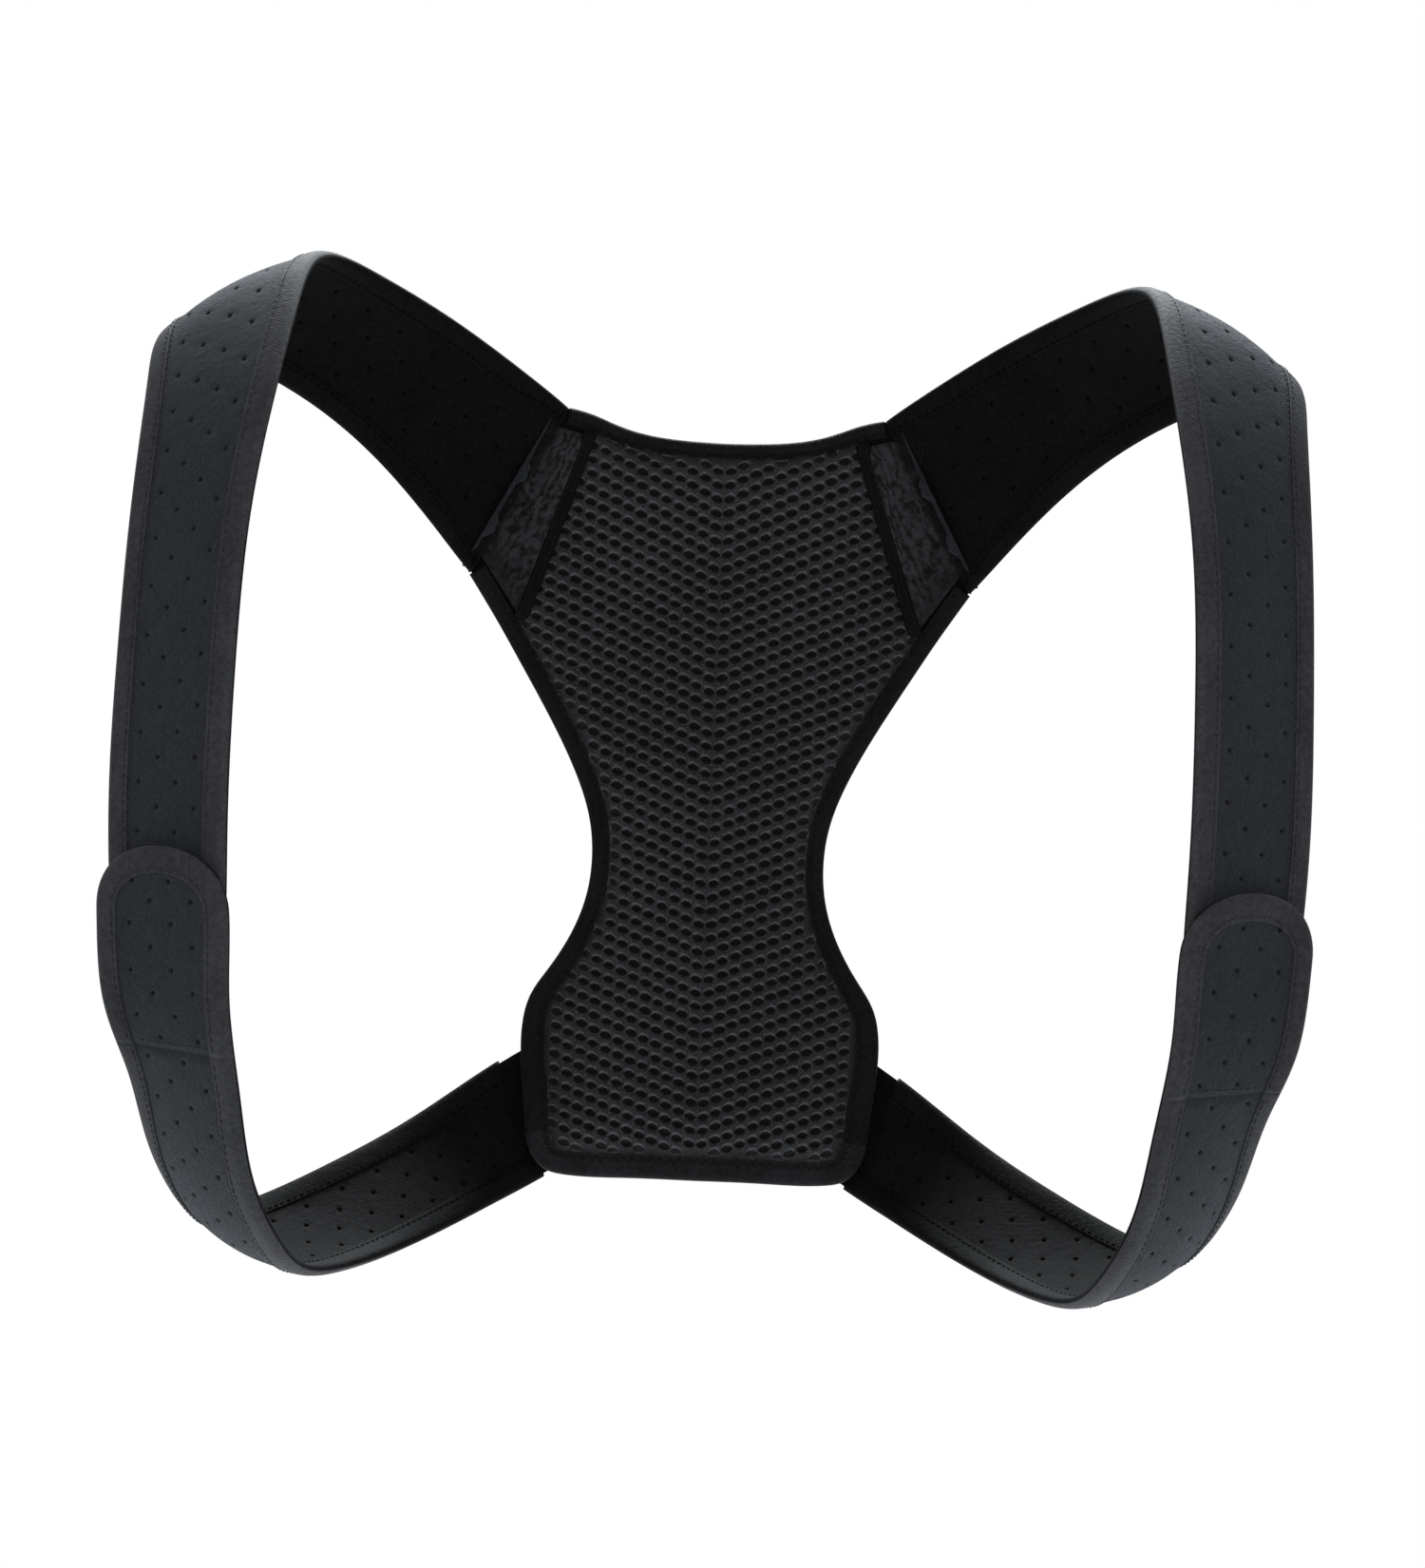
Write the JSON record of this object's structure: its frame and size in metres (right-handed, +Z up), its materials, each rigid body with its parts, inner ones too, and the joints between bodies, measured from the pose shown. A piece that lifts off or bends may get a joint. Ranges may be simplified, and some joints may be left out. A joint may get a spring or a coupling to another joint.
{
  "type": "posture-correcting back brace",
  "caption": "Soft posture brace: hourglass mesh back panel, shoulder straps over the shoulders and underarm straps that stick to them with hook-and-loop tabs.",
  "frame": {"origin": "middle of the back panel's flat inner face, on the left-right symmetry plane, half way between the shoulder crests and the lowest fold of the underarm straps", "axes": "+X to the wearer's left, +Y away from the wearer's back (the wearer stands on the -Y side), +Z up the spine"},
  "size_m": [0.3942, 0.1944, 0.3428],
  "materials": {
    "neoprene": "matt perforated knit-faced neoprene",
    "binding_tape": "matt folded elastic tape with stitching",
    "spacer_mesh": "open knitted spacer mesh",
    "foam": "soft foam",
    "brushed_fabric": "brushed fabric",
    "hook_fastener": "hook tape"
  },
  "bodies": {
    "back_panel": {"outer_shell": "neoprene", "foam_core": "foam", "mesh_liner": "spacer_mesh", "neckline_binding": "binding_tape", "hem_binding": "binding_tape", "armhole_binding_left": "binding_tape", "armhole_binding_right": "binding_tape", "yoke_patch_left": "brushed_fabric", "yoke_patch_right": "brushed_fabric", "shoulder_strap_rear_left": "neoprene", "shoulder_strap_rear_right": "neoprene", "rear_neck_binding_left": "binding_tape", "rear_neck_binding_right": "binding_tape", "rear_arm_binding_left": "binding_tape", "rear_arm_binding_right": "binding_tape", "underarm_anchor_left": "neoprene", "underarm_anchor_right": "neoprene"},
    "shoulder_front_left": {"shoulder_strap_front_left": "neoprene", "shoulder_front_binding_left": "binding_tape"},
    "underarm_left": {"underarm_strap_left": "neoprene", "underarm_lower_binding_left": "binding_tape", "underarm_upper_binding_left": "binding_tape"},
    "tab_body_left": {"tab_left": "neoprene", "tab_binding_left": "binding_tape", "hook_patch_left": "hook_fastener"},
    "shoulder_front_right": {"shoulder_strap_front_right": "neoprene", "shoulder_front_binding_right": "binding_tape"},
    "underarm_right": {"underarm_strap_right": "neoprene", "underarm_lower_binding_right": "binding_tape", "underarm_upper_binding_right": "binding_tape"},
    "tab_body_right": {"tab_right": "neoprene", "tab_binding_right": "binding_tape", "hook_patch_right": "hook_fastener"}
  },
  "joints": [
    {"name": "shoulder_fold_left", "type": "hinge", "parent": "back_panel", "child": "shoulder_front_left", "pos_m": [0.16273, -0.09121, 0.1523], "axis": [0.8626, 0.1265, -0.4898], "range_deg": [0, 45]},
    {"name": "shoulder_fold_right", "type": "hinge", "parent": "back_panel", "child": "shoulder_front_right", "pos_m": [-0.16273, -0.09121, 0.1523], "axis": [0.8626, -0.1265, 0.4898], "range_deg": [0, 45]},
    {"name": "underarm_swing_left", "type": "hinge", "parent": "back_panel", "child": "underarm_left", "pos_m": [0.06245, 0.01404, -0.1212], "axis": [0.4104, 0, 0.9119], "range_deg": [0, 50]},
    {"name": "underarm_swing_right", "type": "hinge", "parent": "back_panel", "child": "underarm_right", "pos_m": [-0.06245, 0.01404, -0.1212], "axis": [0.4104, 0, -0.9119], "range_deg": [0, 50]},
    {"name": "tab_peel_left", "type": "hinge", "parent": "underarm_left", "child": "tab_body_left", "pos_m": [0.17079, -0.15554, -0.09275], "axis": [0.803, 0.5933, 0.0564], "range_deg": [0, 75]},
    {"name": "tab_peel_right", "type": "hinge", "parent": "underarm_right", "child": "tab_body_right", "pos_m": [-0.17079, -0.15554, -0.09275], "axis": [0.803, -0.5933, -0.0564], "range_deg": [0, 75]}
  ]
}
